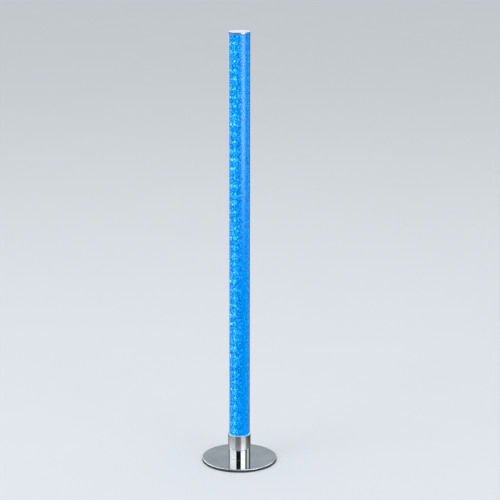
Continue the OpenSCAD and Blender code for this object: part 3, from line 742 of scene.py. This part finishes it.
class LAMP_OT_stage(bpy.types.Operator):
    """Makes the floor, the backdrop, the studio lamps and the camera"""

    bl_idname = "lamp_maker.stage"
    bl_label = "Stage"

    def execute(self, context):
        settings = context.scene.lamp_stage
        self.make_floor(settings)
        self.make_world(settings)
        self.make_lamps()
        self.make_camera(settings)
        return {"FINISHED"}

    def make_floor(self, settings):
        made_of, tree, shader, place = start_material("floor_paint", Roughness=0.6)
        cloud = node(tree, "ShaderNodeTexNoise", {"Vector": place, "Scale": 1 / 420, "Detail": 3, **SOFT})
        colour = settings.floor_colour
        tint = node(tree, "ShaderNodeMix", {
            "Factor": cloud, "A": (*(c * 0.97 for c in colour), 1), "B": (*colour, 1)}, data_type="RGBA")
        feed(shader, {"Base Color": tint.outputs["Result"], "Specular IOR Level": 0.0})
        reach, sides = 70, 48
        verts = [around(360 * i / sides, reach, 0) for i in range(sides)]
        floor = mesh_object("floor", verts, [tuple(range(sides))], [made_of], smooth=False)

    def make_world(self, settings):
        world = bpy.data.worlds.new("studio")
        bpy.context.scene.world = world
        world.use_nodes = True
        tree = world.node_tree
        tree.nodes.clear()
        rays = node(tree, "ShaderNodeLightPath").outputs
        seen = ("MAXIMUM", rays["Is Camera Ray"], rays["Is Glossy Ray"])
        seen = ("MAXIMUM", seen, rays["Is Transmission Ray"])
        backdrop = node(tree, "ShaderNodeBackground", {
            "Color": (*settings.backdrop_colour, 1), "Strength": 1.0})
        fill = node(tree, "ShaderNodeBackground", {"Color": (0.97, 0.985, 1, 1), "Strength": 0.86})
        both = node(tree, "ShaderNodeMixShader", (seen, fill, backdrop))
        node(tree, "ShaderNodeOutputWorld", {"Surface": both})

    def make_lamps(self):
        middle = (0, 0, 0.4)
        soft_lamp("lamp_right", 1.1, 2.2, 2.2, around(42, 3.6, 2.8), middle)
        soft_lamp("lamp_left", 1.8, 2.6, 2.6, around(-55, 3.8, 3.0), middle)
        soft_lamp("lamp_top", 0.7, 5.0, 5.0, (0, 0.2, 4.2), (0, 0.2, 0))
        # What the sleeve mirrors by way of the plate, from its left edge to its right
        for name, start, end, strength in (
                ("left_edge", -152, -112, 0.7), ("left", -112, -33, 2.5), ("front", -33, 15, 0.01),
                ("right", 15, 62, 3.0), ("right_gap", 62, 85, 0.25), ("right_far", 85, 112, 1.4),
                ("right_edge", 112, 150, 0.2)):
            card("sleeve_card_" + name, start, end, ((3.0, 1.09), (3.0, 1.205)), strength)
        # What the collar's tall streaks gather
        tall = ((3.0, 1.4), (3.0, 2.8))
        card("collar_card_left", -128, -40, tall, 4.4)
        card("collar_card_right", 17, 66, tall, 7.4)
        card("collar_card_round", 62, 225, ((3.0, 1.76), (3.0, 2.8)), 2.4)
        card("collar_card_front", -40, 17, tall, 2.0)
        # The tube mirrors the floor: calm and dark but for one tall highlight, which fades out
        # halfway down, and a thin pale line on the left rim
        low = ((0.19, 0.001), (8.2, 0.001))
        card("floor_card_left", -148, 5, low, 0.02)
        card("floor_card_highlight", 5, 81, low, 4.6, "#EEFFFF", (1.5, 4.4))
        card("floor_card_right", 81, 160, low, 0.02)
        card("floor_card_rim", -178, -148, low, 0.85, "#E8F6FF")
        # Farther out, what the side of the cap mirrors
        far = ((8.2, 0.001), (9.5, 0.001))
        card("cap_card_dark", 81, 365, far, 0.9, "#14346C")
        card("cap_card_light", 5, 81, far, 0.75, "#E6F0FF")
        # Close to the foot: a dark ring that the side of the plate mirrors, and round it what
        # lights the upper edge of the plate and the upper half of the collar
        card("rim_card", -180, 180, ((0.091, 0.001), (0.108, 0.001)), 0.1)
        near = ((0.108, 0.001), (0.19, 0.001))
        for name, start, end, strength in (
                ("left", -128, -40, 1.4), ("front", -40, 17, 0.12), ("right", 17, 66, 2.3),
                ("back", 66, 232, 0.1)):
            card("plate_card_" + name, start, end, near, strength)
        # What the rounded edges that face the camera mirror
        card("ceiling_card", -25, 45, ((0.3, 3.2), (2.6, 3.2)), 1.4)
        # The bright top of the cap
        card("cap_card_top", 160, 200, ((3.0, 1.32), (3.0, 1.75)), 1.15, "#F4F8FF")

    def make_camera(self, settings):
        data = bpy.data.cameras.new("camera")
        data.lens = settings.camera_lens
        data.sensor_width = 36
        data.shift_x = settings.camera_shift
        data.dof.use_dof = False
        camera = linked("camera", data)
        camera.location = (0, -settings.camera_distance, settings.camera_height)
        camera.rotation_euler = (math.pi / 2 - settings.camera_pitch, 0, 0)
        bpy.context.scene.camera = camera


class LAMP_OT_metalwork(bpy.types.Operator):
    """Finishes the foot plate, the sleeve, the collar and the cap"""

    bl_idname = "lamp_maker.metalwork"
    bl_label = "Metalwork"

    def execute(self, context):
        dress(polished_chrome(), "base_plate", "chrome_sleeve", "top_cap")
        dress(satin_steel(), "satin_collar")
        return {"FINISHED"}


class LAMP_OT_tubes(bpy.types.Operator):
    """Makes the clear outer tube and the bubbled tube inside it"""

    bl_idname = "lamp_maker.tubes"
    bl_label = "Tubes"

    def execute(self, context):
        settings = context.scene.lamp_column
        dress(clear_acrylic(), "outer_tube")
        low, high = box_mm("bubble_tube")
        inner = high.x - BUBBLE_WALL / MM
        outline = [(high.x, low.z), (high.x, high.z), (inner, high.z), (inner, low.z)]
        wall = lathe("bubbled_wall", outline, [bubbled_acrylic(settings)])
        hand_over(wall, "bubble_tube")
        return {"FINISHED"}


class LAMP_OT_bubbles(bpy.types.Operator):
    """Strews the bubbles through the wall of the bubbled tube"""

    bl_idname = "lamp_maker.bubbles"
    bl_label = "Bubbles"

    def execute(self, context):
        settings = context.scene.lamp_column
        tree = bubble_tree(air_bubbles(settings))
        low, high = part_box("bubble_tube")
        # Three pieces, because one would have too many triangles
        parts = 3
        margin = settings.largest_bubble + 0.1 * MM
        for i in range(parts):
            # The density is more than the gap lets in, so that the gap alone sets their number
            values = {
                "Radius": high.x - BUBBLE_WALL / 2, "Depth": BUBBLE_WALL / 2 - margin,
                "Bottom": low.z + (high.z - low.z) * i / parts + margin,
                "Top": low.z + (high.z - low.z) * (i + 1) / parts - margin,
                "Apart": settings.bubble_gap, "Density": 400000.0, "Seed": settings.seed + i,
                "Smallest": settings.smallest_bubble, "Largest": settings.largest_bubble}
            bubbles = grow(tree, f"air_bubbles_{i + 1}", values)
            hand_over(bubbles, None)
        return {"FINISHED"}


class LAMP_OT_light_bar(bpy.types.Operator):
    """Finishes the light bar and makes the diodes of its two strips"""

    bl_idname = "lamp_maker.light_bar"
    bl_label = "Light bar"

    def execute(self, context):
        dress(plain_finish("bar_aluminium", (1, 1, 0.02), Metallic=1.0), "light_bar")
        dress(strip_film(), "led_strips")
        black = plain_finish("component_black")
        dress(black, "strip_resistors", "switch_body")
        self.make_leads(plain_finish("lead_insulation"))
        # The glow of the housings is painted light of their chips
        housing = plain_finish("diode_housing", Emission_Color="#28C8FF", Emission_Strength=5.0)
        lens = plain_finish(
            "lit_diode", detail=3, IOR=1.41, Emission_Color="#50F0FF", Emission_Strength=28.0)
        tinned = plain_finish("tinned_copper", Metallic=1.0)
        half = DIODE_SIDE / 2 / MM
        between = FIRST_DIODE + DIODE_PITCH / 2
        # For each row: its name, one part that stands on y = 0 and faces -Y, its material, how many
        # there are, the height of the first, the node it stands for and the slot it goes with
        rows = (
            ("diode_housings", blocks("housing", [((-half, -1.55, -half), (half, 0, half))], bevel=0.2),
             housing, DIODE_COUNT, FIRST_DIODE, "leds", "strip_film"),
            ("diode_lenses", round_lens("lens", 2.1 * MM, -DIODE_HEIGHT, 0.3 * MM),
             lens, DIODE_COUNT, FIRST_DIODE, "leds", "lit_diode"),
            ("solder_pads", blocks("pads", [
                ((side * 3.15 - 0.5, -0.06, row * 1.6 - 0.45), (side * 3.15 + 0.5, 0, row * 1.6 + 0.45))
                for side in (-1, 1) for row in (-1, 0, 1)]),
             tinned, DIODE_COUNT, FIRST_DIODE, None, "strip_film"),
            ("resistor_bodies",
             blocks("resistor", [((-0.7, -0.48, -0.6), (0.7, -0.02, 0.6))], bevel=0.05),
             black, DIODE_COUNT - 1, between, "strip_resistors", "component_black"),
            ("resistor_ends", blocks("ends", [
                ((-1, -0.5, -0.625), (-0.65, 0, 0.625)), ((0.65, -0.5, -0.625), (1, 0, 0.625))],
                bevel=0.06),
             tinned, DIODE_COUNT - 1, between, "strip_resistors", "component_black"),
        )
        for name, part, material, count, first, replaced, slot in rows:
            values = {
                "Part": part, "Count": count, "First": first, "Pitch": DIODE_PITCH, "Face": STRIP_FACE,
                "Turn": BAR_TURN}
            piece = grow(strip_row_tree(material), name, values)
            hand_over(piece, replaced)
            bpy.data.objects.remove(part)
        return {"FINISHED"}

    def make_leads(self, vinyl):
        """Two twisted pairs, from the connectors through the deck to the feet of the strips."""
        board = box_mm("controller_board")
        # For each pair: the side of the bar where it ends, and from where and how it leaves the board
        routes = (
            (-1, -5.5, ((0, 0, 0), (0, -2, 0), (-1, -5, 0.3), (-3.5, -8.5, 1.2))),
            (1, 9.5, ((0, 0, 0), (0, -1.8, 0), (0.5, -3, 1.1), (1.5, -2.8, 2.7))),
        )
        # Then through the deck and in to the strip: distances from the middle, and heights
        rise = ((13.9, 40.4), (14.5, 42.5), (14.5, 46.6), (14.1, 48.4), (13.2, 49.6), (12.45, 50),
                (STRIP_FACE / MM, 50))
        points, edges = [], []
        for side, x, steps in routes:
            first = len(points)
            points += [Vector((x, board[0].y - 5, board[0].z + 14)) + Vector(step) for step in steps]
            points += [Vector((side * out * math.sin(BAR_TURN), side * out * math.cos(BAR_TURN), z))
                       for out, z in rise]
            edges += [(k, k + 1) for k in range(first, len(points) - 1)]
        path = mesh_object("path", [point * MM for point in points], [], edges=edges)
        values = {"Path": path, "Wire": 0.54 * MM, "Apart": 0.5 * MM, "Twist": 500.0}
        leads = grow(lead_tree(vinyl), "twisted_leads", values)
        close_up(leads)
        hand_over(leads, "strip_leads")
        bpy.data.objects.remove(path)


class LAMP_OT_fittings(bpy.types.Operator):
    """Finishes the socket, the plug, the seals, the screws, the inlet and the button"""

    bl_idname = "lamp_maker.fittings"
    bl_label = "Fittings"

    def execute(self, context):
        dress(plain_finish("pad_rubber"), "base_pad")
        dress(plain_finish("dark_moulding"), "socket")
        # The plug's blue and its glow are painted light of the tube
        plug = plain_finish("plug_moulding", Emission_Color="#0A5CB8", Emission_Strength=1.0)
        dress(plug, "top_plug")
        dress(plain_finish("clear_silicone", IOR=1.41), "tube_gasket", "top_gasket")
        zinc = plain_finish("zinc_steel", Metallic=1.0)
        dress(zinc, "switch_spring")
        self.make_screws(zinc)
        nylon = plain_finish("black_nylon")
        dress(nylon, "gland_nut")
        self.make_gland(nylon)
        self.make_button()
        return {"FINISHED"}

    def make_screws(self, zinc):
        """The three screws of the foot, the two of the bar and the two of the board."""
        foot, bar, board = (box_mm(name) for name in ("base_screws", "bar_screws", "board_screws"))
        ring = -foot[0].y - FOOT_HEAD
        board_front = board[1].y - SMALL_LENGTH
        countersunk = [(3.9, 0), (3.98, 0.1), (2.0, 2.3)]
        pan = [(1.4, -1.62), (1.9, -1.5), (2.15, -1.2), (SMALL_HEAD, -0.8), (SMALL_HEAD, 0), (1.25, 0)]
        small = (1.25, SMALL_LENGTH, pan, 0.87, 0.97, 0.9, 0.28, 32)
        # For each group: its name, the sizes of its screw, its turn, the node it stands for and
        # its places
        groups = (
            ("foot_screws", (2.0, 14, countersunk, 1.7, 1.6, 1.4, 0.4, 48), (0, 0, 0), "base_screws",
             [(ring * math.cos(math.radians(a)), ring * math.sin(math.radians(a)), foot[0].z)
              for a in (30, 150, 270)]),
            ("bar_end_screws", small, (0, -math.pi / 2, -BAR_TURN), "bar_screws",
             [(BAR_SIDE * math.cos(BAR_TURN), -BAR_SIDE * math.sin(BAR_TURN), z)
              for z in (bar[0].z + SMALL_HEAD, bar[1].z - SMALL_HEAD)]),
            ("circuit_screws", small, (-math.pi / 2, 0, 0), "board_screws",
             [(board[0].x + SMALL_HEAD, board_front, board[1].z - SMALL_HEAD),
              (board[1].x - SMALL_HEAD, board_front, board[0].z + SMALL_HEAD)]),
        )
        for name, sizes, turn, replaced, points in groups:
            part = screw_part(*sizes)
            places = mesh_object("places", [Vector(point) * MM for point in points], [])
            values = {"Part": part, "Places": places, "Turn": turn}
            screws = grow(screw_tree(zinc), name, values)
            hand_over(screws, replaced)
            bpy.data.objects.remove(part)
            bpy.data.objects.remove(places)

    def make_gland(self, nylon):
        low, high = box_mm("cable_gland")
        bore, thread, pitch, head = 2.6, 4.0, 1.25, high.x
        wall = COLLAR[1].x / MM
        seat, shoulder, tip = wall - 0.6, wall + 2, high.y
        turns = [(thread, low.y + pitch * k / 6) for k in range(int((seat - low.y) / pitch * 6))]
        outline = [(bore, low.y), (thread - 0.35, low.y), *turns, (thread, seat), (head, seat)]
        outline += [(head, wall + 0.35 * k) for k in range(1, 6)] + [(head - 0.15, shoulder)]
        outline += [(3.95, tip - 0.12), (3.8, tip), (bore + 0.3, tip), (bore, tip - 0.35)]

        def shape(r, y, turn):
            if r == thread and y < seat - 1:
                # A real thread: its crest climbs one pitch for each turn
                r -= abs(((y - low.y) / pitch - turn / math.tau) % 1 - 0.5) * 0.7
            if y == seat:
                # The head sits on the round wall of the sleeve
                y = math.sqrt(wall ** 2 - (r * math.cos(turn)) ** 2)
            elif r == head:
                # Grip ribs
                r -= 0.28 * max(0.0, math.cos(turn * 20)) ** 2
            return r, y

        gland = lathe("inlet_gland", outline, [nylon], 120, lying(0, (low.z + high.z) / 2), shape)
        hand_over(gland, "cable_gland")

    def make_button(self):
        low, high = box_mm("button_cap")
        back, face, flange, stud, hole = low.y, high.y, high.x, 3.5, 2.85
        outline = [(0, back + 4.1), (hole, back + 4.1), (hole, back + 0.15), (hole + 0.15, back)]
        outline += [(flange - 0.1, back), (flange, back + 0.1), (flange, back + 1.0)]
        outline += [(flange - 0.1, back + 1.1), (stud, back + 1.1), (stud, face - 0.7)]
        outline += [(stud - 0.7 + 0.7 * math.cos(a), face - 0.7 + 0.7 * math.sin(a))
                    for a in (math.pi / 2 * k / 6 for k in range(1, 7))]
        # A shallow dish for the fingertip inside a fine groove
        outline += [(2.66, face - 0.02), (2.6, face - 0.12), (2.52, face - 0.12), (2.46, face - 0.03)]
        dish = [2.4 - 0.3 * k for k in range(8)] + [0]
        outline += [(r, face - 0.03 - 0.32 * (1 - (r / 2.4) ** 2)) for r in dish]
        middle = (low.z + high.z) / 2
        button = lathe("push_button", outline, [spun_silver(middle)], 96, lying(0, middle))
        hand_over(button, "button_cap", "button")


class LAMP_OT_controller(bpy.types.Operator):
    """Finishes the circuit board and its components"""

    bl_idname = "lamp_maker.controller"
    bl_label = "Controller"

    def execute(self, context):
        dress(woven_laminate(), "controller_board")
        tinned = plain_finish("tinned_legs", Metallic=1.0)
        self.make_black_parts(tinned)
        self.make_capacitor(tinned)
        dress(plain_finish("terminal_green"), "supply_terminal")
        white = plain_finish("connector_white")
        dress(white, "switch_stem")
        self.make_connectors(white)
        return {"FINISHED"}

    def make_black_parts(self, tinned):
        """The chip and the transistors: moulded bodies on bent legs."""
        black = plain_finish("moulded_epoxy")
        low, high = box_mm("controller_chip")
        face, middle = high.y, (low.x + high.x) / 2
        boxes = [((low.x + 0.1, low.y, low.z + 0.7), (high.x - 0.1, face - 0.15, high.z - 0.7))]
        for k in range(7):
            for inner, outer in ((low.z + 0.7, low.z), (high.z - 0.7, high.z)):
                boxes += gull_leg(middle + (k - 3) * 1.2, face, inner, outer)
        chip = blocks("chip_on_legs", boxes, [black, tinned], 0.04)
        hand_over(chip, "controller_chip")
        low, high = box_mm("output_transistors")
        boxes = []
        for middle in (low.x + 1.5, (low.x + high.x) / 2, high.x - 1.5):
            boxes.append(((middle - 1.45, low.y, low.z + 0.28), (middle + 1.45, face - 0.05, high.z - 0.28)))
            for x, inner, outer in ((-0.95, low.z + 0.28, low.z), (0.95, low.z + 0.28, low.z),
                                    (0, high.z - 0.28, high.z)):
                boxes += gull_leg(middle + x, face, inner, outer, 0.2, 0.5)
        transistors = blocks("transistors_on_legs", boxes, [black, tinned], 0.03)
        hand_over(transistors, "output_transistors")

    def make_capacitor(self, tinned):
        """A rolled can in its sleeve, with its bare end in front."""
        low, high = box_mm("board_capacitor")
        can = (high.x - low.x) / 2
        sleeve = [(0, low.y + 0.35), (can - 0.55, low.y + 0.35), (can - 0.5, low.y), (can - 0.2, low.y)]
        sleeve += [(can, low.y + 0.25), (can, high.y - 1.6), (can - 0.25, high.y - 1.3)]
        sleeve += [(can - 0.25, high.y - 1.1), (can, high.y - 0.8), (can, high.y), (0, high.y)]
        end = [(0, low.y + 0.14), (0.25, low.y + 0.2), (can - 0.6, low.y + 0.16), (can - 0.6, low.y + 0.4),
               (0, low.y + 0.4)]
        place = lying((low.x + high.x) / 2, (low.z + high.z) / 2)
        film = plain_finish("capacitor_sleeve")
        for name, outline, material in (("capacitor_can", sleeve, film), ("capacitor_end", end, tinned)):
            piece = lathe(name, outline, [material], 48, place)
            hand_over(piece, "board_capacitor")

    def make_connectors(self, white):
        """Each header with its plug pushed in: a parting line, ribs and a latch."""
        low, high = box_mm("strip_connectors")
        boxes = []
        for x0, x1 in ((low.x, low.x + 10), (high.x - 10, high.x)):
            boxes += [((x0, low.y + 2, low.z), (x1, high.y, high.z)),
                      ((x0 + 0.5, low.y, low.z + 0.5), (x1 - 0.5, low.y + 2.2, high.z - 0.5))]
            boxes += [((x, low.y + 0.3, high.z - 0.7), (x + 0.8, low.y + 1.9, high.z - 0.1))
                      for x in (x0 + 1.5, x0 + 7.7)]
            boxes.append(((x0 + 4, low.y + 0.2, low.z + 0.1), (x0 + 6, low.y + 1.9, low.z + 0.7)))
        connectors = blocks("plugged_connectors", boxes, [white], 0.12)
        hand_over(connectors, "strip_connectors")


class LAMP_PT_maker(bpy.types.Panel):
    """Lists the steps that dress the lamp"""

    bl_label = "Bubble tube floor lamp"
    bl_idname = "LAMP_PT_maker"
    bl_space_type = "VIEW_3D"
    bl_region_type = "UI"
    bl_category = "Lamp"

    def draw(self, context):
        layout = self.layout
        for group in (context.scene.lamp_column, context.scene.lamp_stage):
            for key in group.__annotations__:
                layout.prop(group, key)
        for step in STEPS:
            layout.operator(step.bl_idname)


STEPS = (
    LAMP_OT_stage, LAMP_OT_metalwork, LAMP_OT_tubes, LAMP_OT_bubbles, LAMP_OT_light_bar,
    LAMP_OT_fittings, LAMP_OT_controller,
)
GROUPS = {"lamp_column": LampColumnSettings, "lamp_stage": LampStageSettings}


def register():
    for made in (*GROUPS.values(), *STEPS, LAMP_PT_maker):
        bpy.utils.register_class(made)
    for name, group in GROUPS.items():
        setattr(bpy.types.Scene, name, PointerProperty(type=group))


def unregister():
    for name in GROUPS:
        delattr(bpy.types.Scene, name)
    for made in reversed((*GROUPS.values(), *STEPS, LAMP_PT_maker)):
        bpy.utils.unregister_class(made)


def main():
    register()
    bpy.context.scene.view_settings.view_transform = "Standard"
    bpy.ops.lamp_maker.stage()
    bpy.ops.lamp_maker.metalwork()
    bpy.ops.lamp_maker.tubes()
    bpy.ops.lamp_maker.bubbles()
    bpy.ops.lamp_maker.light_bar()
    bpy.ops.lamp_maker.fittings()
    bpy.ops.lamp_maker.controller()


if __name__ == "__main__":
    main()
